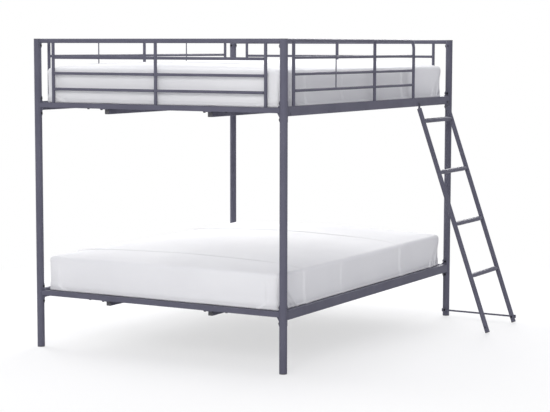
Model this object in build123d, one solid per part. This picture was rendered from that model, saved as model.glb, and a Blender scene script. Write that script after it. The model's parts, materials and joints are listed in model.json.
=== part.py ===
from build123d import *
import os
from math import cos, pi, radians, sin, sqrt, tan

os.makedirs("parts", exist_ok=True)

# Steel tube bunk bed, full over full, with a leaning ladder at the right end of its front side.
# Millimetres. X runs along the bed, the ladder side faces -Y, Z is up.
# The origin is on the floor, under the middle of the whole object's box, ladder included.

# Overall sizes, between the axes of the corner posts
post_spacing_x = 1943.0
post_spacing_y = 1434.0

# Corner posts, round tube closed by a plastic disc at each end
post_dia = 38.0
post_wall = 1.5
cap_thickness = 3.0
foot_thickness = 4.0

# Decks: the slat tops of the lower bunk, the step up to the upper bunk, and the guards above that
lower_deck_z = 296.0
deck_step = 967.0
guard_height = 323.0

# Long side rails, rectangular tube
side_rail_height = 45.0
side_rail_width = 24.0
side_rail_wall = 1.2
side_rail_lip = 5.0
rail_chamfer = 1.5

# End rails, square tube
end_rail_size = 25.0
end_rail_wall = 1.2

# Brackets on the rails' ends, a curved plate against the post with a web above and below the rail
saddle_thickness = 2.0
saddle_margin = 5.0
saddle_wrap = 43.0
saddle_clearance = 0.1
web_thickness = 5.0
web_length = 13.0
side_web_height = 8.0
web_bolt_gap = 1.5

# Bolts: only the heads show, and the holes are for a ladder or guard fitted the other way round
bolt_head_width = 12.0
bolt_head_height = 2.2
bolt_hole_dia = 8.5

# Guards above the upper deck. The side guards' top tubes are as thick as their uprights.
end_guard_top_dia = 22.2
guard_post_dia = 16.0
guard_bar_dia = 14.0
tie_rod_dia = 6.0
bar_sides = 12
end_bar_above_rail = 69.0
end_bar_pitch = 79.5
side_bar_above_rail = 73.0
side_bar_pitch = 78.0
guard_bar_count = 3
end_guard_inset = 98.0
side_guard_inset = 94.5
access_gap = 460.0
guard_bend_radius = 42.0
guard_tab_height = 45.0
guard_tab_wrap = 34.0
guard_bolt_drop = 34.0

# Bars along the bed under both decks, and the plates that hang them from the end rails
support_bar_size = 25.0
support_bar_wall = 1.2
support_bar_y = 302.0
support_bar_setback = 16.5
hanger_thickness = 3.0
hanger_width = 60.0
hanger_outer = 10.0
hanger_inner = 42.0
hanger_corner = 8.0
hanger_screw_y = 21.0
screw_head_width = 10.0
screw_head_height = 4.0
bar_cap_thickness = 2.0
deck_screw_y = 403.0

# Slats, an open channel pressed from sheet, and the angles that carry their ends
slat_width = 40.0
slat_wall = 1.0
slat_count = 11
first_slat_inset = 71.5
slat_clearance = 1.0
ledge_thickness = 2.5
ledge_width = 22.0
ledge_height = 21.0
ledge_end_gap = 62.0

# Ladder
stile_dia = 25.4
stile_wall = 1.5
stile_spacing = 392.0
stile_top_gap = 12.0
ladder_lean = 19.16
ladder_foot_thickness = 4.0
ladder_cap_thickness = 2.0
rung_count = 4
first_rung_z = 306.0
top_rung_drop = 68.0
rung_end_dia = 20.0
rung_height = 25.0
rung_depth = 32.0
rung_taper = 58.0
rung_sides = 16
tab_thickness = 3.0
tab_down = 30.0
ladder_bolt_up = 10.0
slot_clearance = 0.2

# Brace rod from the right front post to the foot of the ladder
brace_dia = 10.0
brace_z = 34.0
brace_gap = 11.8
brace_flat = 3.0
brace_flat_width = 18.0
brace_flat_length = 34.0
brace_clearance = 0.1

# Mattresses, with a gap to the guards at the ends and to the rails along the sides
mattress_end_gap = 11.0
mattress_side_gap = 19.0
mattress_height = 207.0
mattress_lift = 0.3
mattress_corner = 26.0
mattress_pull = 5.0

# One overrun for every cut
over = 5.0

# Places worked out from the sizes
post_r = post_dia / 2
post_x = post_spacing_x / 2
saddle_r = post_r + saddle_clearance
saddle_outer_r = saddle_r + saddle_thickness
stile_r = stile_dia / 2
lean = radians(ladder_lean)
upper_deck_z = lower_deck_z + deck_step
bed_height = upper_deck_z + guard_height
upper_rail_bottom = upper_deck_z + side_rail_lip - side_rail_height
rail_bolt_pitch = side_rail_height + 2 * (side_web_height + web_bolt_gap) + bolt_head_width
saddle_height = rail_bolt_pitch + bolt_head_width + 2 * saddle_margin
end_web_above = side_rail_lip + side_web_height
end_web_below = side_rail_height + side_web_height - side_rail_lip - end_rail_size
tab_width = stile_dia - 2 * (stile_wall + slot_clearance)
tab_out = side_rail_width / 2 + tab_thickness / 2
stile_top_z = upper_rail_bottom - stile_top_gap
stile_foot_z = stile_r * sin(lean)
stile_rise = stile_top_z - stile_foot_z
stile_length = stile_rise / cos(lean)
rung_pitch = (stile_top_z - top_rung_drop - first_rung_z) / (rung_count - 1)
foot_out = tab_out + stile_rise * tan(lean)
front_reach = foot_out + stile_r * cos(lean)
bed_y = (front_reach - post_r) / 2
front_y = bed_y - post_spacing_y / 2
back_y = bed_y + post_spacing_y / 2
right_stile_x = post_x - post_r - brace_gap - stile_r
left_stile_x = right_stile_x - stile_spacing
stile_xs = (left_stile_x, right_stile_x)
ladder_bolt_z = upper_rail_bottom + ladder_bolt_up
guard_end_x = post_x - post_r - access_gap - guard_post_dia / 2
side_guard_top_z = bed_height - guard_post_dia / 2
guard_bolt_z = bed_height - guard_bolt_drop
end_guard_post_y = post_spacing_y / 2 - end_guard_inset
side_guard_post_x = post_x - side_guard_inset
slat_height = end_rail_size + hanger_thickness
slat_pitch = (post_spacing_x - 2 * first_slat_inset) / (slat_count - 1)
mattress_length = post_spacing_x - guard_post_dia - 2 * mattress_end_gap
mattress_width = post_spacing_y - side_rail_width - 2 * mattress_side_gap

posts = {
    "front_left": (-post_x, front_y),
    "front_right": (post_x, front_y),
    "back_left": (-post_x, back_y),
    "back_right": (post_x, back_y),
}
decks = {"lower": lower_deck_z, "upper": upper_deck_z}
rows = {"front": front_y, "back": back_y}
ends = {"left": -post_x, "right": post_x}
upward = (Align.CENTER, Align.CENTER, Align.MIN)


# Shared shapes

def save(name, *shapes):
    solids = [solid for shape in shapes for solid in shape.solids()]
    export_step(Compound(solids), f"parts/{name}.step")


def along(start, end):
    """A plane at start whose Z points to end, with its Y as near to up as it can be."""
    direction = Vector(*end) - Vector(*start)
    side = Vector(0, 0, 1).cross(direction)
    if side.length < direction.length / 1000:
        side = Vector(1, 0, 0)
    return Plane(origin=start, x_dir=side.normalized(), z_dir=direction.normalized())


def length_between(start, end):
    return (Vector(*end) - Vector(*start)).length


def rod(start, end, dia):
    return along(start, end) * Cylinder(dia / 2, length_between(start, end), align=upward)


def tube(start, end, dia, wall):
    return rod(start, end, dia) - rod(start, end, dia - 2 * wall)


def slim_rod(start, end, dia, sides=bar_sides):
    """Thin round bar drawn with a few flats, which face up, down and to the sides."""
    profile = RegularPolygon(dia / 2, sides, major_radius=False, rotation=180 / sides)
    return along(start, end) * extrude(profile, length_between(start, end))


def box_tube(start, end, width, height, wall):
    """Rectangular tube between two level points, with width across and height upright."""
    outer = Rectangle(width, height)
    outer = chamfer(outer.vertices(), rail_chamfer)
    inner = Rectangle(width - 2 * wall, height - 2 * wall)
    return along(start, end) * extrude(outer - inner, length_between(start, end))


def upright(x, y, low, high, dia):
    return rod((x, y, low), (x, y, high), dia)


def cope_to_brackets(shape):
    """Cuts the ends of a rail or tube to the curved brackets on the posts."""
    for x, y in posts.values():
        shape -= upright(x, y, -over, bed_height + over, 2 * saddle_outer_r)
    return shape


def at_post(corner, axis, z):
    """A plane on a post's axis whose Z points to its neighbour along X or Y, with its Y up."""
    x, y = posts[corner]
    if axis == "x":
        return along((x, y, z), (0, y, z))
    return along((x, y, z), (x, bed_y, z))


def saddle(corner, axis, low, high, wrap):
    """Curved plate against a post, on the side where a rail or guard comes in."""
    x, y = posts[corner]
    ring = tube((x, y, low), (x, y, high), 2 * saddle_outer_r, saddle_thickness)
    reach = saddle_outer_r + over
    side = reach * tan(radians(wrap))
    sector = make_face(Polyline((0, 0), (side, reach), (-side, reach), close=True))
    wedge = extrude(Plane.XZ * sector, (high - low) / 2, both=True)
    return ring & (at_post(corner, axis, (low + high) / 2) * wedge)


def bolt_head(width, height):
    return extrude(RegularPolygon(width / 2, 6, major_radius=False), height)


def post_bolt(corner, axis, z, seat):
    """Bolt head whose underside is at seat from the post's axis."""
    return at_post(corner, axis, z) * (Pos(0, 0, seat) * bolt_head(bolt_head_width, bolt_head_height))


def side_rail_mid(deck_z):
    return deck_z + side_rail_lip - side_rail_height / 2


# Posts, with a cap on top, a glide under the foot and an unused guard hole in the front right one

def post(corner):
    x, y = posts[corner]
    return tube((x, y, foot_thickness), (x, y, bed_height - cap_thickness), post_dia, post_wall)


spare_guard_hole = Cylinder(bolt_hole_dia / 2, post_dia, align=upward)
spare_guard_hole = at_post("front_right", "x", guard_bolt_z) * spare_guard_hole
for corner in posts:
    body = post(corner)
    if corner == "front_right":
        body -= spare_guard_hole
    save(f"{corner}_post", body)
places = posts.values()
save("post_caps", *[upright(x, y, bed_height - cap_thickness, bed_height, post_dia) for x, y in places])
save("post_feet", *[upright(x, y, 0, foot_thickness, post_dia) for x, y in places])

rail_bolts = []
for deck_z in decks.values():
    for corner in posts:
        for axis in ("x", "y"):
            for side in (-1, 1):
                z = side_rail_mid(deck_z) + side * rail_bolt_pitch / 2
                rail_bolts.append(post_bolt(corner, axis, z, saddle_outer_r))
save("rail_bolts", *rail_bolts)

guard_bolts = [post_bolt(corner, "y", guard_bolt_z, saddle_outer_r) for corner in posts]
guard_bolts += [
    post_bolt(corner, "x", guard_bolt_z, saddle_outer_r) for corner in posts if corner != "front_right"
]
save("guard_bolts", *guard_bolts)


# Rail brackets

def web(corner, axis, rail_edge_z, height):
    """Small web in the corner between a bracket's plate and its rail, above it or below it."""
    outline = Polyline((0, 0), (web_length, 0), (0, height), close=True)
    plate = extrude(Plane.ZY * make_face(outline), web_thickness / 2, both=True)
    return at_post(corner, axis, rail_edge_z) * (Pos(0, 0, saddle_outer_r) * plate)


def rail_bracket(corner, axis, deck_z, rail_low, rail_high, below, above):
    mid = side_rail_mid(deck_z)
    plate = saddle(corner, axis, mid - saddle_height / 2, mid + saddle_height / 2, saddle_wrap)
    return [plate, web(corner, axis, rail_high, above), web(corner, axis, rail_low, -below)]


# Long side rails, each with its brackets and the angle that carries the slats

def side_rail(deck_z, y):
    mid = side_rail_mid(deck_z)
    rail = box_tube((-post_x, y, mid), (post_x, y, mid), side_rail_width, side_rail_height, side_rail_wall)
    return cope_to_brackets(rail)


def ledge(deck_z, y):
    toward = 1 if y < bed_y else -1
    length = post_spacing_x - 2 * ledge_end_gap
    face_y = y + toward * side_rail_width / 2
    shelf_z = deck_z - slat_height - ledge_thickness
    shelf = Box(length, ledge_width, ledge_thickness, align=upward)
    wall = Box(length, ledge_thickness, ledge_height, align=upward)
    angle = Pos(0, face_y + toward * ledge_width / 2, shelf_z) * shelf
    return angle + Pos(0, face_y + toward * ledge_thickness / 2, shelf_z) * wall


for deck, deck_z in decks.items():
    for row, y in rows.items():
        high = deck_z + side_rail_lip
        low = high - side_rail_height
        rail = side_rail(deck_z, y)
        if (deck, row) == ("upper", "front"):
            for x in stile_xs:
                start, stop = (-x, y - side_rail_width, ladder_bolt_z), (-x, y, ladder_bolt_z)
                rail -= rod(start, stop, bolt_hole_dia)
        brackets = []
        for end in ends:
            corner = f"{row}_{end}"
            brackets += rail_bracket(corner, "x", deck_z, low, high, side_web_height, side_web_height)
        save(f"{deck}_{row}_rail", rail, ledge(deck_z, y), *brackets)


# End rails with their brackets

for deck, deck_z in decks.items():
    for end, x in ends.items():
        mid = deck_z - end_rail_size / 2
        rail = box_tube((x, front_y, mid), (x, back_y, mid), end_rail_size, end_rail_size, end_rail_wall)
        brackets = []
        for row in rows:
            corner = f"{row}_{end}"
            low = deck_z - end_rail_size
            brackets += rail_bracket(corner, "y", deck_z, low, deck_z, end_web_below, end_web_above)
        save(f"{deck}_{end}_end_rail", cope_to_brackets(rail), *brackets)


# Guards

def guard_tab(corner, axis):
    """Curved lug behind the end of a top tube, which takes the guard's bolt."""
    return saddle(corner, axis, bed_height - guard_tab_height, bed_height, guard_tab_wrap)


def top_rod(start, end, dia):
    """Round bar between two points of the plan, level with the tops of the posts."""
    z = bed_height - dia / 2
    return rod((*start, z), (*end, z), dia)


def guard_top(start, end, dia):
    return cope_to_brackets(top_rod(start, end, dia))


def guard_post(x, y, rail_top, start, end, dia):
    """Upright of a guard, from the rail to the top tube of that diameter, to which it is coped."""
    body = slim_rod((x, y, rail_top), (x, y, bed_height - dia / 2), guard_post_dia)
    return body - top_rod(start, end, dia)


def guard_bars(start, end, zs, start_inset, end_inset):
    """Level bars between two uprights, each cut off at the upright's face."""
    direction = (Vector(*end) - Vector(*start)).normalized()
    low = Vector(*start) + direction * start_inset
    high = Vector(*end) - direction * end_inset
    return [slim_rod((low.X, low.Y, z), (high.X, high.Y, z), guard_bar_dia) for z in zs]


end_bar_zs = [upper_deck_z + end_bar_above_rail + index * end_bar_pitch for index in range(guard_bar_count)]
side_rail_top = upper_deck_z + side_rail_lip
first_side_bar_z = side_rail_top + side_bar_above_rail
side_bar_zs = [first_side_bar_z + index * side_bar_pitch for index in range(guard_bar_count)]
guard_post_r = guard_post_dia / 2

for end, x in ends.items():
    start, stop = (x, front_y), (x, back_y)
    upright_ys = [bed_y - end_guard_post_y, bed_y, bed_y + end_guard_post_y]
    pieces = [guard_top(start, stop, end_guard_top_dia)]
    pieces += [guard_post(x, y, upper_deck_z, start, stop, end_guard_top_dia) for y in upright_ys]
    for near, far in zip(upright_ys, upright_ys[1:]):
        pieces += guard_bars((x, near), (x, far), end_bar_zs, guard_post_r, guard_post_r)
    pieces += [guard_tab(f"{row}_{end}", "y") for row in rows]
    save(f"{end}_end_guard", *pieces)


def tie_rod(x, y):
    """Thin rod from the top tube to the lowest bar, in a length for each gap."""
    bar_r = guard_bar_dia / 2
    tops = [z - bar_r for z in side_bar_zs[1:]] + [bed_height - guard_post_dia]
    bottoms = [z + bar_r for z in side_bar_zs]
    return [slim_rod((x, y, low), (x, y, high), tie_rod_dia) for low, high in zip(bottoms, tops)]


# The back guard runs from post to post
back_start, back_stop = (-post_x, back_y), (post_x, back_y)
back_xs = [-side_guard_post_x, 0, side_guard_post_x]
back_guard = [guard_top(back_start, back_stop, guard_post_dia)]
back_guard += [
    guard_post(x, back_y, side_rail_top, back_start, back_stop, guard_post_dia) for x in back_xs
]
for near, far in zip(back_xs, back_xs[1:]):
    back_guard += guard_bars((near, back_y), (far, back_y), side_bar_zs, guard_post_r, guard_post_r)
back_guard += [guard_tab(f"back_{end}", "x") for end in ends]
save("back_guard", *back_guard)
save("back_guard_tie_rods", *tie_rod(-side_guard_post_x / 2, back_y), *tie_rod(side_guard_post_x / 2, back_y))

# The front guard stops short of the right post, where its top tube bends down to the rail
bend_x = guard_end_x - guard_bend_radius
bend_z = side_guard_top_z - guard_bend_radius
front_start, front_stop = (-post_x, front_y), (bend_x, front_y)
bend_path = CenterArc((0, 0, 0), guard_bend_radius, 0, 90)
elbow = sweep(Plane(bend_path @ 0, z_dir=bend_path % 0) * Circle(guard_post_r), bend_path)
elbow = Pos(bend_x, front_y, bend_z) * (Rot(90, 0, 0) * elbow)
front_xs = [-side_guard_post_x, 0]
front_guard = [guard_top(front_start, front_stop, guard_post_dia), elbow]
front_guard.append(upright(guard_end_x, front_y, side_rail_top, bend_z, guard_post_dia))
front_guard += [
    guard_post(x, front_y, side_rail_top, front_start, front_stop, guard_post_dia) for x in front_xs
]
front_guard += guard_bars(
    (front_xs[0], front_y), (front_xs[1], front_y), side_bar_zs, guard_post_r, guard_post_r
)
front_guard += guard_bars(
    (front_xs[1], front_y), (guard_end_x, front_y), side_bar_zs, guard_post_r, guard_post_r
)
front_guard.append(guard_tab("front_left", "x"))
save("front_guard", *front_guard)
save("front_guard_tie_rod", *tie_rod(-side_guard_post_x / 2, front_y))


# Support bars under the decks, hung from the end rails by flat plates

bar_reach = post_x - support_bar_setback


def support_bar(deck_z, y):
    mid = deck_z - slat_height - support_bar_size / 2
    end_x = bar_reach - bar_cap_thickness
    size = support_bar_size
    return box_tube((-end_x, y, mid), (end_x, y, mid), size, size, support_bar_wall)


def bar_cap(deck_z, y, side):
    mid = deck_z - slat_height - support_bar_size / 2
    plate = Box(bar_cap_thickness, support_bar_size, support_bar_size)
    plate = chamfer(plate.edges().filter_by(Axis.X), rail_chamfer)
    return Pos(side * (bar_reach - bar_cap_thickness / 2), y, mid) * plate


def hanger(deck_z, y, side):
    profile = Rectangle(hanger_outer + hanger_inner, hanger_width)
    profile = chamfer(profile.vertices(), hanger_corner)
    mid_x = side * (post_x + (hanger_outer - hanger_inner) / 2)
    return Pos(mid_x, y, deck_z - slat_height) * extrude(profile, hanger_thickness)


def deck_screw(x, y, seat_z):
    """Head of a screw driven up into an end rail, under the seat."""
    return Pos(x, y, seat_z - screw_head_height) * bolt_head(screw_head_width, screw_head_height)


bar_ys = (bed_y - support_bar_y, bed_y + support_bar_y)
for deck, deck_z in decks.items():
    places = [(y, side) for y in bar_ys for side in (-1, 1)]
    save(f"{deck}_support_bars", *[support_bar(deck_z, y) for y in bar_ys])
    save(f"{deck}_bar_caps", *[bar_cap(deck_z, y, side) for y, side in places])
    save(f"{deck}_bar_hangers", *[hanger(deck_z, y, side) for y, side in places])
    screws = []
    for x in ends.values():
        for side in (-1, 1):
            screws.append(deck_screw(x, bed_y + side * deck_screw_y, deck_z - end_rail_size))
            for bar_y in bar_ys:
                screws.append(deck_screw(x, bar_y + side * hanger_screw_y, deck_z - slat_height))
    save(f"{deck}_deck_screws", *screws)


# Slats

def slat(x, deck_z):
    length = post_spacing_y - side_rail_width - 2 * (ledge_thickness + slat_clearance)
    profile = Rectangle(slat_width, slat_height)
    profile -= Pos(0, -slat_wall) * Rectangle(slat_width - 2 * slat_wall, slat_height)
    return Pos(x, bed_y, deck_z - slat_height / 2) * extrude(Plane.XZ * profile, length / 2, both=True)


for deck, deck_z in decks.items():
    first = -(slat_count - 1) / 2 * slat_pitch
    save(f"{deck}_slats", *[slat(first + index * slat_pitch, deck_z) for index in range(slat_count)])


# Ladder, leaning out from under the upper front rail

def stile_y(z):
    """Y of the stile axes at a height."""
    return front_y - tab_out - (stile_top_z - z) * tan(lean)


def stile_plane(x, z):
    """A plane on a stile's axis whose Z runs up the stile."""
    return Plane(origin=(x, stile_y(z), z), x_dir=(1, 0, 0), z_dir=(0, sin(lean), cos(lean)))


def tab_slot(x):
    """Room for the ladder's tab in the top of a stile."""
    size = (tab_width + 2 * slot_clearance, tab_thickness + 2 * slot_clearance, tab_down + slot_clearance)
    slot = Box(*size, align=(Align.CENTER, Align.CENTER, Align.MAX))
    return Pos(x, front_y - tab_out, ladder_bolt_z) * slot


def stile(x):
    height = stile_length - ladder_foot_thickness - ladder_cap_thickness
    body = Cylinder(stile_r, height, align=upward) - Cylinder(stile_r - stile_wall, height, align=upward)
    return stile_plane(x, stile_foot_z) * (Pos(0, 0, ladder_foot_thickness) * body) - tab_slot(x)


def stile_disc(x, at, thickness):
    return stile_plane(x, stile_foot_z) * (Pos(0, 0, at) * Cylinder(stile_r, thickness, align=upward))


def rung(z):
    """Bar flattened to a tread, whose round ends are coped to the stiles."""
    end_r = rung_end_dia / 2
    tread = (rung_depth / 2, rung_height / 2)
    stations = [
        (left_stile_x, end_r, end_r),
        (left_stile_x + rung_taper, *tread),
        (right_stile_x - rung_taper, *tread),
        (right_stile_x, end_r, end_r),
    ]
    faces = []
    for x, depth_r, height_r in stations:
        turns = [2 * pi * (index + 1 / 2) / rung_sides for index in range(rung_sides)]
        outline = Polyline(*[(depth_r * cos(turn), height_r * sin(turn)) for turn in turns], close=True)
        section = Plane(origin=(x, stile_y(z), z), x_dir=(0, 1, 0), z_dir=(1, 0, 0))
        faces.append(section * make_face(outline))
    body = loft(faces, ruled=True)
    for x in stile_xs:
        body -= stile_plane(x, stile_foot_z) * Cylinder(stile_r, stile_length, align=upward)
    return body


def ladder_tab(x):
    """Upright plate from inside the top of a stile to the bolt in the rail's face."""
    plate = Box(tab_width, tab_thickness, tab_down, align=(Align.CENTER, Align.CENTER, Align.MAX))
    crown = Polyline(
        (-tab_width / 2, 0),
        (-tab_width / 4, tab_width / 2),
        (tab_width / 4, tab_width / 2),
        (tab_width / 2, 0),
        close=True,
    )
    eye = extrude(Plane.XZ * make_face(crown), tab_thickness / 2, both=True)
    return Pos(x, front_y - tab_out, ladder_bolt_z) * (plate + eye)


def ladder_bolt(x):
    seat_y = front_y - tab_out - tab_thickness / 2
    return along((x, seat_y, ladder_bolt_z), (x, seat_y - over, ladder_bolt_z)) * bolt_head(
        bolt_head_width, bolt_head_height
    )


spare_brace_hole = rod(
    (left_stile_x - stile_dia, stile_y(brace_z), brace_z),
    (left_stile_x, stile_y(brace_z), brace_z),
    bolt_hole_dia,
)
save("ladder_left_stile", stile(left_stile_x) - spare_brace_hole)
save("ladder_right_stile", stile(right_stile_x))
save("ladder_rungs", *[rung(first_rung_z + index * rung_pitch) for index in range(rung_count)])
save("ladder_feet", *[stile_disc(x, 0, ladder_foot_thickness) for x in stile_xs])
cap_at = stile_length - ladder_cap_thickness
save("ladder_top_caps", *[stile_disc(x, cap_at, ladder_cap_thickness) - tab_slot(x) for x in stile_xs])
save("ladder_tabs", *[ladder_tab(x) for x in stile_xs])
save("ladder_bolts", *[ladder_bolt(x) for x in stile_xs])


# Brace rod: its flattened ends lie against the inner side of the post and the outer side of the stile

post_flat_x = post_x - post_r - brace_clearance - brace_flat / 2
stile_flat_x = right_stile_x + stile_r + brace_clearance + brace_flat / 2
brace_foot_y = stile_y(brace_z)
brace_inset = (brace_flat_length + brace_flat_width) / 4
post_end = (post_flat_x, front_y - brace_inset, brace_z)
stile_end = (stile_flat_x, brace_foot_y + brace_inset, brace_z)
brace = rod(post_end, stile_end, brace_dia)
for x, y in ((post_flat_x, front_y), (stile_flat_x, brace_foot_y)):
    brace += Pos(x, y, brace_z) * Box(brace_flat, brace_flat_length, brace_flat_width)
save("ladder_brace", brace)

brace_seat = post_r + 2 * brace_clearance + brace_flat
head = bolt_head(bolt_head_width, bolt_head_height)
outer_x = stile_flat_x + brace_flat / 2 + brace_clearance
inner_x = right_stile_x - stile_r - brace_clearance
save(
    "brace_bolts",
    post_bolt("front_right", "x", brace_z, brace_seat),
    along((outer_x, brace_foot_y, brace_z), (outer_x + over, brace_foot_y, brace_z)) * head,
    along((inner_x, brace_foot_y, brace_z), (inner_x - over, brace_foot_y, brace_z)) * head,
)


# Mattresses: sides that draw in between the corners, a round shoulder and a crowned top

side_steps = 4
corner_steps = 5


def mattress_outline(z, inset, pull):
    """Rectangle with round corners and sides that bow inward by pull, as a fine polygon."""
    half_x = mattress_length / 2 - inset
    half_y = mattress_width / 2 - inset
    flat_x, flat_y = half_x - mattress_corner, half_y - mattress_corner
    points = []
    for turn in range(4):
        a, b = (flat_x, half_y) if turn % 2 == 0 else (flat_y, half_x)
        turned = Rot(0, 0, 90 * turn)
        for step in range(side_steps + 1):
            share = 2 * step / side_steps - 1
            points.append(turned * Pos(a * share, pull * (1 - share**2) - b, 0))
        for step in range(1, corner_steps):
            angle = radians(90 * step / corner_steps)
            rise = mattress_corner * (1 - cos(angle))
            points.append(turned * Pos(a + mattress_corner * sin(angle), rise - b, 0))
    corners = [(point.position.X, point.position.Y) for point in points]
    return Pos(0, bed_y, z) * make_face(Polyline(*corners, close=True))


# Share of the height, share of the half width drawn in and share of the pull, from the base to the crown
mattress_shares = [
    (0.0, 0.009, 1.0),
    (0.045, 0.0, 1.1),
    (0.73, 0.0, 1.2),
    (0.81, 0.011, 1.0),
    (0.86, 0.038, 0.7),
    (0.91, 0.12, 0),
    (0.95, 0.28, 0),
    (0.98, 0.50, 0),
    (1.0, 0.82, 0),
]


def mattress(deck_z):
    base = deck_z + mattress_lift
    sections = []
    for height_share, inset_share, pull_share in mattress_shares:
        inset = inset_share * mattress_width / 2
        sections.append(mattress_outline(base + height_share * mattress_height, inset, pull_share * mattress_pull))
    return loft(sections, ruled=True)


for deck, deck_z in decks.items():
    save(f"{deck}_mattress", mattress(deck_z))
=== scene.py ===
"""The looks of a steel tube bunk bed with a leaning ladder and two mattresses in fitted sheets.

Lengths are in metres. A mattress has its length along x and its width along y.
"""

import json
import math

import bpy
import numpy as np
from mathutils import Matrix, Vector
from mathutils.kdtree import KDTree


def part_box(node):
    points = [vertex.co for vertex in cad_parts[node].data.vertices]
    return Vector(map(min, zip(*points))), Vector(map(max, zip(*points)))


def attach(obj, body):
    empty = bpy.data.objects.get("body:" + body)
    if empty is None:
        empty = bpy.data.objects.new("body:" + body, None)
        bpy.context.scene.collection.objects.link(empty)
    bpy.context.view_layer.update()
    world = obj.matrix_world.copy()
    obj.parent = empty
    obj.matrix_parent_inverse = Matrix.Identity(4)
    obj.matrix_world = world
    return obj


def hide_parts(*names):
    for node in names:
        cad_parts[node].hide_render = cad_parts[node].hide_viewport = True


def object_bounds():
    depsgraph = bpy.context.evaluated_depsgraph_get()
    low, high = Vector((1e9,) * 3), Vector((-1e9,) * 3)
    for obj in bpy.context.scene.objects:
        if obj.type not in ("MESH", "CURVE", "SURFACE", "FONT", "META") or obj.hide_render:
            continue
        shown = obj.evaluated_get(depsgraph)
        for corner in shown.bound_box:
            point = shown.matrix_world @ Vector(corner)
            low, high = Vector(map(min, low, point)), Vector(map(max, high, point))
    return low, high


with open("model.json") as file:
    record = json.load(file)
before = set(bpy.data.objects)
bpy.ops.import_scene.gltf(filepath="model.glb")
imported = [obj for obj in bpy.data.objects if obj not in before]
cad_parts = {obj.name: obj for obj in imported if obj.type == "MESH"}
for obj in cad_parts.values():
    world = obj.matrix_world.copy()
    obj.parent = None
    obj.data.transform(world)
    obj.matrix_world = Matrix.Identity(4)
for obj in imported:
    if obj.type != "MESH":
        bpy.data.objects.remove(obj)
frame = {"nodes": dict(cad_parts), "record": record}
cad_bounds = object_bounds()
scene = bpy.context.scene

# Camera, fitted to the photograph's posts, rails and guards
CAMERA_PLACE = Vector((-7.5951, -4.1775, 1.5542))
CAMERA_YAW = math.radians(29.316)
CAMERA_PITCH = math.radians(-5.67)
CAMERA_ROLL = math.radians(0.105)
CAMERA_REACH = 100.0
FOCAL_PIXELS = 1618.0
PHOTO_WIDTH = 550.0
SENSOR_MM = 36.0

# Floor: its size, its gap under the feet, its finish and where it fades to white
FLOOR_REACH = 30.0
FLOOR_GAP = 0.0005
FLOOR_COLOUR = (0.86, 0.86, 0.86, 1)
FLOOR_ROUGHNESS = 0.9
FADE_START = 1.3
FADE_END = 3.2
NEAR_WHITE_SHARE = 0.6

# Light: the even part that comes from all round, and each lamp's place, target, diameter and watts
SKY_COLOUR = (0.91, 0.91, 1, 1)
SKY_STRENGTH = 0.56
LAMPS = {
    "right_light": ((6.0, 1.4, 3.7), (0, 0.2, 0.6), 4.0, 330),
    "back_light": ((1.0, 6.5, 3.9), (0, 0.2, 0.5), 5.0, 365),
    "left_light": ((-5.8, -2.0, 3.5), (0, 0.2, 0.6), 2.6, 132),
    "overhead_light": ((0, 0.2, 5.5), (0, 0.2, 1.0), 3.0, 40),
}

# Finishes: the darkest and the lightest base colour of each
COAT_TONES = ((0.117, 0.116, 0.151), (0.131, 0.130, 0.167))
PLASTIC_TONES = ((0.07, 0.07, 0.078), (0.1, 0.1, 0.108))
OXIDE_TONES = ((0.014, 0.014, 0.018), (0.05, 0.05, 0.058))
COTTON_TONES = ((0.80, 0.80, 0.80), (0.845, 0.845, 0.84))

# More highlight than this, and the white all round would wash out the dark coat
COAT_SPECULAR = 0.06

# Scale of the sheet's weave, which gives about 830 threads to the metre each way
WEAVE_SCALE = 260.0

# Sockets of a mix node that mixes colours
MIX_SHARE = 0
MIX_FIRST = 6
MIX_SECOND = 7
MIX_RESULT = 2

# Rolled edges of drawn tubes and folded slats
ROLLED_EDGE = 0.0015
ROLLED_SEGMENTS = 2
ROLLED_ANGLE = math.radians(60)
ROLLED_ENDINGS = ("_rail", "_support_bars", "_slats")

# Mattress in its sheet: roundings, height of the top's edge and grid cells
CORNER_RADIUS = 0.026
TOP_EDGE_RADIUS = 0.019
BOTTOM_EDGE_RADIUS = 0.005
EDGE_TOP = 0.174
FINE_CELL = 0.0042
MIDDLE_CELL = 0.0065
COARSE_CELL = 0.014

# Where the grid has its smaller cells: beside creases, at the right end, along the sides and at the hem
CREASE_MARGIN = 0.022
END_MARGIN = 0.20
SIDE_MARGIN = 0.16
HEM_MARGIN = 0.024

# Crown: how fast the top rises from its edge, and the ridge line as places along the bed and heights
SHOULDER_RISE = 0.005
SHOULDER_REACH = 0.050
CROWN_REACH = 0.450
RIDGE_LINE = (
    (-0.9525, 0.0), (-0.90, 0.011), (-0.82, 0.018), (-0.70, 0.0215), (-0.60, 0.0275), (-0.45, 0.0305),
    (-0.20, 0.0315), (0.05, 0.0305), (0.22, 0.029), (0.40, 0.027), (0.54, 0.030), (0.68, 0.031),
    (0.82, 0.0265), (0.90, 0.015), (0.9525, 0.0),
)

# Packing creases: place along the bed, strength on the sides and strength on the top
CREASES = ((-0.705, 1.0, 1.0), (-0.302, 0.6, 0.0), (0.400, 0.9, 0.8))

# The cloth's step at a crease: height, sharpness and how far it takes to fall back
TOP_STEP = (0.0045, 0.0022, 0.07)
SIDE_STEP = (0.0090, 0.0036, 0.060)

# The dip in front of a step on the top
DIP_DEPTH = 0.0022
DIP_DISTANCE = 0.004
DIP_WIDTH = 0.004

# Creases across the top are shallow at the front edge and deeper at the back one. The spans in which
# they change are shares of half the width.
CREASE_FRONT_DEPTH = 0.35
CREASE_FRONT_SPAN = (-0.98, -0.45)
CREASE_BACK_EXTRA = 0.6
CREASE_BACK_SPAN = (0.6, 0.95)

# The height up to which a corner has spare cloth
CORNER_TOP = 0.160

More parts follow.
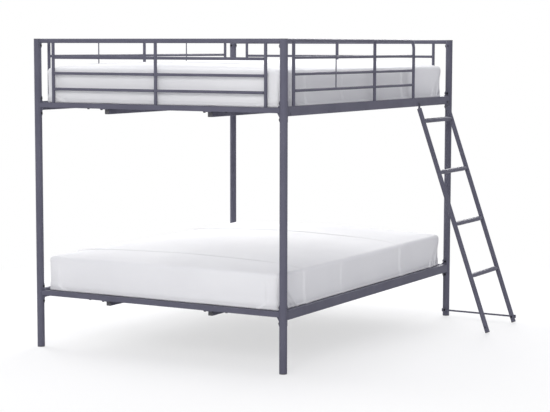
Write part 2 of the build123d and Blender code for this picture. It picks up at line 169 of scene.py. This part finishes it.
# Pleats on the long sides: how far they fan out from a corner's top to the hem, how far they stand out
# and how far the cloth draws in beside them. Each pleat has its strength, and its place and width as
# shares of the fan.
FAN_START = 0.030
FAN_GROWTH = 0.150
FAN_CURVE = 1.2
PLEAT_STAND = 0.0085
PLEATS = ((1.0, 0.07, 0.045), (0.8, 0.28, 0.05), (0.9, 0.52, 0.06))
CORNER_DRAW = 0.012

# Flap on the ends: the height it starts at, the place of its fold, how far it stands out along that, how
# the cloth beyond the fold falls to a shallow dip and fades out, and how far the corner draws in
FLAP_TOP = 0.150
FLAP_RAMP = 0.06
FOLD_PLACE = 0.072
FOLD_GROWTH = 0.055
FOLD_GROWTH_TOP = 0.035
FOLD_CURVE = 1.5
FLAP_STAND = 0.0065
FLAP_FALL = 0.006
FLAP_DIP = 0.12
FLAP_FADE = (0.010, 0.045)
FLAP_DRAW = 0.003

# Sides: how far they draw in, where the corner turns from pleats to flap, and the hem's roll, seam and
# droop by how far they stand out, their height and their width
SIDE_DRAW = 0.0045
CORNER_TURN = (0.2, 0.8)
HEM_ROLL = (0.0018, 0.005, 0.0045)
HEM_SEAM = (-0.0014, 0.0135, 0.0026)
HEM_DROOP = (0.006, 0.0, 0.012)

# Cloth simulation: cells and frames, the pressure and the growth of the cloth, as a negative shrinkage,
# the largest move that is kept, and the heights up to which the hem is pinned and above which it is free
CLOTH_CELL = 0.021
CLOTH_FRAMES = 20
CLOTH_PRESSURE = 4
CLOTH_SHRINK = -0.010
CLOTH_CAP = 0.0045
HEM_TOP = 0.018
HEM_FREE = 3 * HEM_TOP

# Carrying the moves over to finer points: how many coarse ones count, and a gap that keeps the weight of
# a very near one finite
NEIGHBOURS = 6
NEIGHBOUR_GAP = 0.003

# Lengths below TINY count as zero, and exponents are held within the limit
TINY = 1e-9
EXPONENT_LIMIT = 40


# Shader nodes

def new_material(name):
    material = bpy.data.materials.new(name)
    material.use_nodes = True
    nodes, links = material.node_tree.nodes, material.node_tree.links
    return material, nodes, links, nodes["Principled BSDF"]


def object_place(nodes):
    return nodes.new("ShaderNodeTexCoord").outputs["Object"]


def mix_tones(nodes, links, share, tones):
    mix = nodes.new("ShaderNodeMix")
    mix.data_type = "RGBA"
    mix.inputs[MIX_FIRST].default_value = (*tones[0], 1)
    mix.inputs[MIX_SECOND].default_value = (*tones[1], 1)
    links.new(share, mix.inputs[MIX_SHARE])
    return mix.outputs[MIX_RESULT]


def mix_shaders(nodes, links, share, first, second):
    mix = nodes.new("ShaderNodeMixShader")
    for source, socket in zip((share, first, second), mix.inputs):
        links.new(source, socket)
    return mix.outputs["Shader"]


def combine(nodes, links, operation, first, second):
    node = nodes.new("ShaderNodeMath")
    node.operation = operation
    links.new(first, node.inputs[0])
    links.new(second, node.inputs[1])
    return node.outputs["Value"]


def rays(nodes, links, *kinds):
    """One for rays of these kinds, and zero for all others."""
    path = nodes.new("ShaderNodeLightPath")
    result = path.outputs[kinds[0]]
    for kind in kinds[1:]:
        result = combine(nodes, links, "MAXIMUM", result, path.outputs[kind])
    return result


def noise(nodes, links, scale, detail, stretch=None):
    """Noise in object space, which is in metres, so scale is in lumps per metre."""
    texture = nodes.new("ShaderNodeTexNoise")
    texture.inputs["Scale"].default_value = scale
    texture.inputs["Detail"].default_value = detail
    source = object_place(nodes)
    if stretch is not None:
        mapping = nodes.new("ShaderNodeMapping")
        mapping.inputs["Scale"].default_value = stretch
        links.new(source, mapping.inputs["Vector"])
        source = mapping.outputs["Vector"]
    links.new(source, texture.inputs["Vector"])
    return texture.outputs["Fac"]


def ramp(nodes, links, value, span, result=(0.0, 1.0)):
    """Maps a value within the span to the result's two ends, and holds it there outside the span."""
    mapper = nodes.new("ShaderNodeMapRange")
    for socket, limit in zip(("From Min", "From Max", "To Min", "To Max"), (*span, *result)):
        mapper.inputs[socket].default_value = limit
    links.new(value, mapper.inputs["Value"])
    return mapper.outputs["Result"]


def bump(nodes, links, height, distance, strength, under=None):
    node = nodes.new("ShaderNodeBump")
    node.inputs["Strength"].default_value = strength
    node.inputs["Distance"].default_value = distance
    links.new(height, node.inputs["Height"])
    if under is not None:
        links.new(under, node.inputs["Normal"])
    return node.outputs["Normal"]


# Materials

def powder_coat():
    """Grey powder coat on steel: a fine orange peel, a faint change of shade and soft highlights."""
    material, nodes, links, shader = new_material("grey_powder_coat")
    shade = ramp(nodes, links, noise(nodes, links, scale=7.0, detail=3.0), span=(0.35, 0.65))
    links.new(mix_tones(nodes, links, shade, COAT_TONES), shader.inputs["Base Color"])
    gloss = noise(nodes, links, scale=40.0, detail=3.0)
    gloss = ramp(nodes, links, gloss, span=(0.3, 0.7), result=(0.40, 0.50))
    links.new(gloss, shader.inputs["Roughness"])
    shader.inputs["Specular IOR Level"].default_value = COAT_SPECULAR
    grain = noise(nodes, links, scale=1400.0, detail=1.0)
    grain = bump(nodes, links, grain, distance=0.00012, strength=0.6)
    peel = noise(nodes, links, scale=260.0, detail=2.0)
    peel = bump(nodes, links, peel, distance=0.00025, strength=0.5, under=grain)
    links.new(peel, shader.inputs["Normal"])
    return material


def black_plastic():
    """Moulded black plastic with a fine matte grain."""
    material, nodes, links, shader = new_material("black_plastic_grain")
    shade = noise(nodes, links, scale=60.0, detail=2.0)
    links.new(mix_tones(nodes, links, shade, PLASTIC_TONES), shader.inputs["Base Color"])
    gloss = noise(nodes, links, scale=300.0, detail=2.0)
    gloss = ramp(nodes, links, gloss, span=(0.3, 0.7), result=(0.5, 0.62))
    links.new(gloss, shader.inputs["Roughness"])
    grain = noise(nodes, links, scale=2200.0, detail=1.0)
    grain = bump(nodes, links, grain, distance=0.0001, strength=0.7)
    links.new(grain, shader.inputs["Normal"])
    return material


def black_oxide():
    """Blackened steel of bolts and screws, a little worn in random spots."""
    material, nodes, links, shader = new_material("black_oxide_steel")
    wear = ramp(nodes, links, noise(nodes, links, scale=220.0, detail=4.0), span=(0.45, 0.75))
    links.new(mix_tones(nodes, links, wear, OXIDE_TONES), shader.inputs["Base Color"])
    gloss = noise(nodes, links, scale=500.0, detail=2.0)
    gloss = ramp(nodes, links, gloss, span=(0.3, 0.7), result=(0.32, 0.5))
    links.new(gloss, shader.inputs["Roughness"])
    shader.inputs["Metallic"].default_value = 0.6
    grain = noise(nodes, links, scale=1500.0, detail=1.0)
    grain = bump(nodes, links, grain, distance=0.00008, strength=0.5)
    links.new(grain, shader.inputs["Normal"])
    return material


def weave(nodes, links):
    """Height of a plain weave: threads along x crossed by threads along y."""
    place = object_place(nodes)
    threads = []
    for direction in ("X", "Y"):
        wave = nodes.new("ShaderNodeTexWave")
        wave.bands_direction = direction
        wave.inputs["Scale"].default_value = WEAVE_SCALE
        wave.inputs["Distortion"].default_value = 0.6
        wave.inputs["Detail"].default_value = 1.0
        links.new(place, wave.inputs["Vector"])
        threads.append(wave.outputs["Fac"])
    return combine(nodes, links, "MULTIPLY", *threads)


def sheet_cloth():
    """White cotton sheet: a plain weave, soft sheen and a faint unevenness of tone."""
    material, nodes, links, shader = new_material("white_cotton_sheet")
    tone = ramp(nodes, links, noise(nodes, links, scale=2.2, detail=3.0), span=(0.35, 0.7))
    links.new(mix_tones(nodes, links, tone, COTTON_TONES), shader.inputs["Base Color"])
    shader.inputs["Roughness"].default_value = 0.88
    shader.inputs["Sheen Weight"].default_value = 0.15
    shader.inputs["Sheen Roughness"].default_value = 0.5
    threads = bump(nodes, links, weave(nodes, links), distance=0.00015, strength=0.5)
    slubs = noise(nodes, links, scale=35.0, detail=3.0, stretch=(1, 1, 4))
    slubs = bump(nodes, links, slubs, distance=0.0006, strength=0.35, under=threads)
    links.new(slubs, shader.inputs["Normal"])
    return material


MATERIALS = {
    "grey_frame": powder_coat(),
    "black_plastic": black_plastic(),
    "black_fasteners": black_oxide(),
    "mattress_cover": sheet_cloth(),
}


# Pieces

def make_mesh(name, points, faces):
    mesh = bpy.data.meshes.new(name)
    mesh.from_pydata(points.tolist(), [], faces.tolist())
    mesh.update()
    mesh.shade_smooth()
    piece = bpy.data.objects.new(name, mesh)
    scene.collection.objects.link(piece)
    return piece


def paint(piece, slot):
    piece.data.materials.clear()
    piece.data.materials.append(MATERIALS[slot])


def dress_frame():
    """Gives the CAD pieces their finishes, and the rails, support bars and slats their rolled edges."""
    for part in frame["record"]["subparts"]:
        piece = frame["nodes"][part["node"]]
        paint(piece, part["material_slot"])
        if part["node"].endswith(ROLLED_ENDINGS):
            rolled = piece.modifiers.new("rolled_edges", "BEVEL")
            rolled.width = ROLLED_EDGE
            rolled.segments = ROLLED_SEGMENTS
            rolled.angle_limit = ROLLED_ANGLE


# The skin of a block with rounded corners and edges

def spread(runs, end):
    """Grid lines through runs of (start, cell size), up to end."""
    starts = [start for start, _ in runs] + [end]
    lines = [starts[0]]
    for (start, cell), stop in zip(runs, starts[1:]):
        count = max(1, round((stop - start) / cell))
        lines += [start + (stop - start) * step / count for step in range(1, count + 1)]
    return np.array(lines)


def box_skin(xs, ys, zs):
    """The skin of a box: its vertices on the grid lines and the four-sided faces between them."""
    counts = [len(line) for line in (xs, ys, zs)]
    quads = []
    for axis in range(3):
        first, second = [other for other in range(3) if other != axis]
        a, b = np.meshgrid(np.arange(counts[first]), np.arange(counts[second]), indexing="ij")
        for end in (0, 1):
            key = [None, None, None]
            key[first], key[second], key[axis] = a, b, np.full(a.shape, (counts[axis] - 1) * end)
            ids = (key[0] * counts[1] + key[1]) * counts[2] + key[2]
            quad = np.stack([ids[:-1, :-1], ids[1:, :-1], ids[1:, 1:], ids[:-1, 1:]], axis=-1)
            quad = quad.reshape(-1, 4)
            outward = (end == 1) != (axis == 1)
            quads.append(quad if outward else quad[:, ::-1])
    used, faces = np.unique(np.concatenate(quads), return_inverse=True)
    k = used % counts[2]
    j = used // counts[2] % counts[1]
    i = used // counts[2] // counts[1]
    return np.stack([xs[i], ys[j], zs[k]], axis=1), faces.reshape(-1, 4)


def round_off(points, half):
    """Rounds the skin's corners and edges. Each point gets its place, its outward direction and its
    depth behind the side. The face and the side beside an edge each take half of its quarter turn."""
    flat, z = points[:, :2], points[:, 2]
    held = np.clip(flat, CORNER_RADIUS - half, half - CORNER_RADIUS)
    out = flat - held
    reach = np.abs(out).max(axis=1)
    length = np.linalg.norm(out, axis=1)
    direction = np.where(length[:, None] > TINY, out / np.maximum(length, TINY)[:, None], 0.0)
    depth = CORNER_RADIUS - reach
    new_depth, new_z = depth.copy(), z.copy()
    for edge_z, edge, sign in ((EDGE_TOP, TOP_EDGE_RADIUS, 1), (0.0, BOTTOM_EDGE_RADIUS, -1)):
        on_face = np.isclose(z, edge_z)
        turn = (1 - depth / edge) * math.pi / 4
        near = on_face & (depth < edge)
        new_depth = np.where(near, edge * (1 - np.sin(turn)), new_depth)
        new_z = np.where(near, edge_z - sign * edge * (1 - np.cos(turn)), new_z)
        below = sign * (edge_z - z)
        turn = (1 - below / edge) * math.pi / 4
        near = ~on_face & (depth < TINY) & (below < edge)
        new_depth = np.where(near, edge * (1 - np.cos(turn)), new_depth)
        new_z = np.where(near, edge_z - sign * edge * (1 - np.sin(turn)), new_z)
    place = held + direction * (CORNER_RADIUS - new_depth)[:, None]
    return np.column_stack([place, new_z]), direction, new_depth


# The forms of a fitted sheet

def bell(value, height, middle, width):
    """A rounded ridge of this height. At the width from its middle, a third of the height is left."""
    return height * np.exp(-(((value - middle) / width) ** 2))


def step_up(value, low, high):
    """A smooth step from zero at low to one at high."""
    share = np.clip((value - low) / (high - low), 0, 1)
    return share * share * (3 - 2 * share)


def fold_step(past, height, sharpness, reach):
    """A fold in the cloth: a quick step up at zero, then a slow fall back over the reach."""
    climb = 1 / (1 + np.exp(-np.clip(past / sharpness, -EXPONENT_LIMIT, EXPONENT_LIMIT)))
    return height * (climb * np.exp(-np.clip(past, 0, None) / reach))


def crown(x, y, half):
    """Rise of the top above its edge: a quick shoulder, then a slow swell with the packing creases."""
    side = half[1] - np.abs(y)
    inward = np.minimum(half[0] - np.abs(x), side)
    shoulder = SHOULDER_RISE * (1 - np.exp(-np.clip(inward - TOP_EDGE_RADIUS, 0, None) / SHOULDER_REACH))
    places, rises = np.array(RIDGE_LINE).T
    ridge = np.interp(x, places * half[0] / places[-1], rises)
    across = (1 - np.exp(-np.clip(side, 0, None) / CROWN_REACH)) / (1 - math.exp(-half[1] / CROWN_REACH))
    rise = shoulder + ridge * across
    from_middle = y / half[1]
    depth = CREASE_FRONT_DEPTH + (1 - CREASE_FRONT_DEPTH) * step_up(from_middle, *CREASE_FRONT_SPAN)
    depth += CREASE_BACK_EXTRA * step_up(from_middle, *CREASE_BACK_SPAN)
    for place, _, strength in CREASES:
        fold = fold_step(x - place, *TOP_STEP) - bell(x, DIP_DEPTH, place - DIP_DISTANCE, DIP_WIDTH)
        rise += strength * depth * fold
    return rise


def pleats(along, height):
    """Pleats beside a corner on a long side, which fan out from the corner's top and curve as they go."""
    low = np.clip(1 - height / CORNER_TOP, 0, 1)
    fan = FAN_START + FAN_GROWTH * low**FAN_CURVE
    within = np.clip(1 - along / fan, 0, 1)
    ridges = sum(bell(within, *pleat) for pleat in PLEATS)
    return PLEAT_STAND * low**0.5 * ridges - CORNER_DRAW * low * within


def flap(along, height):
    """Flap of the sheet beside a corner on an end, which stands out along its fold."""
    low = np.clip(1 - height / CORNER_TOP, 0, 1)
    fold = FOLD_PLACE + FOLD_GROWTH * np.clip(1 - height / FOLD_GROWTH_TOP, 0, 1) ** FOLD_CURVE
    share = along / fold
    fade_start, fade_end = FLAP_FADE
    beyond = np.clip(1 - (along - fold) / FLAP_FALL, -FLAP_DIP, 1)
    beyond *= 1 - step_up(along, fold + fade_start, fold + fade_end)
    stand = FLAP_STAND * step_up(FLAP_TOP - height, 0.0, FLAP_RAMP) * np.where(share < 1, share, beyond)
    return stand - FLAP_DRAW * low * np.clip(1 - share, 0, 1)


def side_relief(points, direction, half):
    """How far the sheet stands out from the block at each point of its sides."""
    x, y, z = points.T
    on_long = np.abs(direction[:, 1]) > np.abs(direction[:, 0])
    turned = step_up(direction[:, 1] ** 2, *CORNER_TURN)
    relief = turned * pleats(half[0] - np.abs(x), z) + (1 - turned) * flap(half[1] - np.abs(y), z)
    bow = np.where(on_long, 1 - (x / half[0]) ** 2, 1 - (y / half[1]) ** 2)
    relief = relief - SIDE_DRAW * bow * np.sin(np.clip(z / EDGE_TOP, 0, 1) * math.pi)
    for place, strength, _ in CREASES:
        relief += np.where(on_long, strength * fold_step(x - place, *SIDE_STEP), 0.0)
    hem = bell(z, *HEM_ROLL) + bell(z, *HEM_SEAM)
    droop = np.where(on_long, bell(z, *HEM_DROOP), 0.0)
    return relief + hem + droop


def sheeted_block(half, cells):
    """Places and faces of a mattress in its sheet, with its middle at the origin and its base at zero."""
    fine, middle, coarse = cells
    x_runs = [(-half[0], fine), (CREASES[0][0] + CREASE_MARGIN, coarse)]
    for place, _, _ in CREASES[1:]:
        x_runs += [(place - CREASE_MARGIN, fine), (place + CREASE_MARGIN, coarse)]
    x_runs.append((half[0] - END_MARGIN, fine))
    y_runs = [(-half[1], middle), (-half[1] + SIDE_MARGIN, coarse), (half[1] - SIDE_MARGIN, middle)]
    z_runs = [(0.0, fine), (HEM_MARGIN, middle)]
    skin, faces = box_skin(spread(x_runs, half[0]), spread(y_runs, half[1]), spread(z_runs, EDGE_TOP))
    places, direction, depth = round_off(skin, half)
    on_top = np.isclose(skin[:, 2], EDGE_TOP)
    level = on_top | np.isclose(skin[:, 2], 0.0)
    edge = np.where(on_top, TOP_EDGE_RADIUS, BOTTOM_EDGE_RADIUS)
    wall = np.where(level, np.clip(1 - depth / edge, 0, 1), 1.0)
    relief = side_relief(places, direction, half) * wall
    places[:, :2] += direction * relief[:, None]
    places[:, 2] += np.where(on_top, crown(places[:, 0], places[:, 1], half), 0.0)
    return places, faces


# Mattresses in fitted sheets

def footprint(node):
    """The middle of a node's box, on the level of its base, and half its length and width."""
    low, high = (np.array(corner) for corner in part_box(node))
    middle = (low + high) / 2
    return (middle[0], middle[1], low[2]), (high[:2] - low[:2]) / 2


def swell(half):
    """Cloth simulation of a coarse copy of the sheet, blown up from inside with its hem pinned.
    Gives the copy's places and how far each of them moved."""
    points, faces = sheeted_block(half, (CLOTH_CELL, CLOTH_CELL, CLOTH_CELL))
    copy = make_mesh("sheet_under_pressure", points, faces)
    hem = copy.vertex_groups.new(name="hem")
    hem.add([index for index, point in enumerate(points) if point[2] < HEM_TOP], 1.0, "REPLACE")
    cloth = copy.modifiers.new("cloth", "CLOTH").settings
    cloth.vertex_group_mass = "hem"
    cloth.use_pressure = True
    cloth.uniform_pressure_force = CLOTH_PRESSURE
    cloth.shrink_min = CLOTH_SHRINK
    cloth.effector_weights.gravity = 0
    for number in range(1, CLOTH_FRAMES + 1):
        scene.frame_set(number)
    result = copy.evaluated_get(bpy.context.evaluated_depsgraph_get()).to_mesh()
    swollen = np.empty(3 * len(points), dtype=np.float32)
    result.vertices.foreach_get("co", swollen)
    scene.frame_set(1)
    bpy.data.objects.remove(copy)
    moves = swollen.reshape(-1, 3) - points
    length = np.linalg.norm(moves, axis=1)
    return points, moves * (CLOTH_CAP / np.maximum(length, CLOTH_CAP))[:, None]


def carried(points, sources, moves):
    """The moves of the coarse sheet, carried over to finer points by the distance to the nearest ones."""
    tree = KDTree(len(sources))
    for index, source in enumerate(sources):
        tree.insert(source, index)
    tree.balance()
    shifts = np.zeros_like(points)
    for index, point in enumerate(points):
        near = tree.find_n(point, NEIGHBOURS)
        weights = np.array([1 / (distance + NEIGHBOUR_GAP) ** 2 for _, _, distance in near])
        shifts[index] = weights @ moves[[found for _, found, _ in near]] / weights.sum()
    return shifts


def mattress(name, node, swollen):
    """A sheeted mattress in the place of a CAD node, with the swelling of the sheet if there is one."""
    base, half = footprint(node)
    points, faces = sheeted_block(half, (FINE_CELL, MIDDLE_CELL, COARSE_CELL))
    if swollen is not None:
        points += carried(points, *swollen) * step_up(points[:, 2], HEM_TOP, HEM_FREE)[:, None]
    points += base
    piece = make_mesh(name, points, faces)
    paint(piece, "mattress_cover")
    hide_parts(node)
    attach(piece, node)


def mattresses():
    """Both mattresses."""
    swollen = None
    _, half = footprint("upper_mattress")
    swollen = swell(half)
    for level in ("upper", "lower"):
        mattress(f"{level}_mattress_sheeted", f"{level}_mattress", swollen)


# Camera, floor and light

def place_camera():
    data = bpy.data.cameras.new("photo_camera")
    data.sensor_width = SENSOR_MM
    data.sensor_fit = "HORIZONTAL"
    data.lens = FOCAL_PIXELS / PHOTO_WIDTH * SENSOR_MM
    data.clip_end = CAMERA_REACH
    camera = bpy.data.objects.new("photo_camera", data)
    forward = Vector((
        math.cos(CAMERA_YAW) * math.cos(CAMERA_PITCH),
        math.sin(CAMERA_YAW) * math.cos(CAMERA_PITCH),
        math.sin(CAMERA_PITCH),
    ))
    level = Vector((math.sin(CAMERA_YAW), -math.cos(CAMERA_YAW), 0))
    upward = level.cross(forward)
    right = level * math.cos(CAMERA_ROLL) + upward * math.sin(CAMERA_ROLL)
    upward = right.cross(forward)
    turn = Matrix((right, upward, -forward)).transposed()
    camera.matrix_world = Matrix.Translation(CAMERA_PLACE) @ turn.to_4x4()
    scene.collection.objects.link(camera)
    scene.camera = camera


def floor_finish():
    """Pale floor that keeps the bed's soft shadow and fades to white around it."""
    material, nodes, links, shader = new_material("pale_floor")
    shader.inputs["Base Color"].default_value = FLOOR_COLOUR
    shader.inputs["Roughness"].default_value = FLOOR_ROUGHNESS
    distance = nodes.new("ShaderNodeVectorMath")
    distance.operation = "LENGTH"
    links.new(object_place(nodes), distance.inputs[0])
    fade = ramp(nodes, links, distance.outputs["Value"], (FADE_START, FADE_END), (NEAR_WHITE_SHARE, 1.0))
    seen = rays(nodes, links, "Is Camera Ray", "Is Glossy Ray")
    white_share = combine(nodes, links, "MULTIPLY", seen, fade)
    glow = nodes.new("ShaderNodeEmission").outputs["Emission"]
    surface = mix_shaders(nodes, links, white_share, shader.outputs["BSDF"], glow)
    links.new(surface, nodes["Material Output"].inputs["Surface"])
    return material


def floor():
    """The floor, just below the feet."""
    corners = np.array([(-1, -1), (1, -1), (1, 1), (-1, 1)]) * FLOOR_REACH
    corners = np.column_stack([corners, np.full(4, cad_bounds[0][2] - FLOOR_GAP)])
    piece = make_mesh("floor", corners, np.array([(0, 1, 2, 3)]))
    piece.data.materials.append(floor_finish())


def world_light():
    """Even light from all round, behind a background that shows as plain white."""
    world = bpy.data.worlds.new("studio")
    world.use_nodes = True
    nodes, links = world.node_tree.nodes, world.node_tree.links
    soft = nodes["Background"]
    soft.inputs["Color"].default_value = SKY_COLOUR
    soft.inputs["Strength"].default_value = SKY_STRENGTH
    white = nodes.new("ShaderNodeBackground")
    white.inputs["Color"].default_value = (1, 1, 1, 1)
    seen = rays(nodes, links, "Is Camera Ray", "Is Glossy Ray", "Is Transmission Ray")
    surface = mix_shaders(nodes, links, seen, soft.outputs["Background"], white.outputs["Background"])
    links.new(surface, nodes["World Output"].inputs["Surface"])
    scene.world = world


def area_light(name, place, target, size, power):
    data = bpy.data.lights.new(name, "AREA")
    data.shape = "DISK"
    data.size = size
    data.energy = power
    lamp = bpy.data.objects.new(name, data)
    lamp.location = place
    lamp.rotation_euler = (Vector(target) - Vector(place)).to_track_quat("-Z", "Y").to_euler()
    scene.collection.objects.link(lamp)


dress_frame()
mattresses()
place_camera()
floor()
world_light()
for lamp_name, lamp_facts in LAMPS.items():
    area_light(lamp_name, *lamp_facts)
scene.view_settings.view_transform = "Standard"
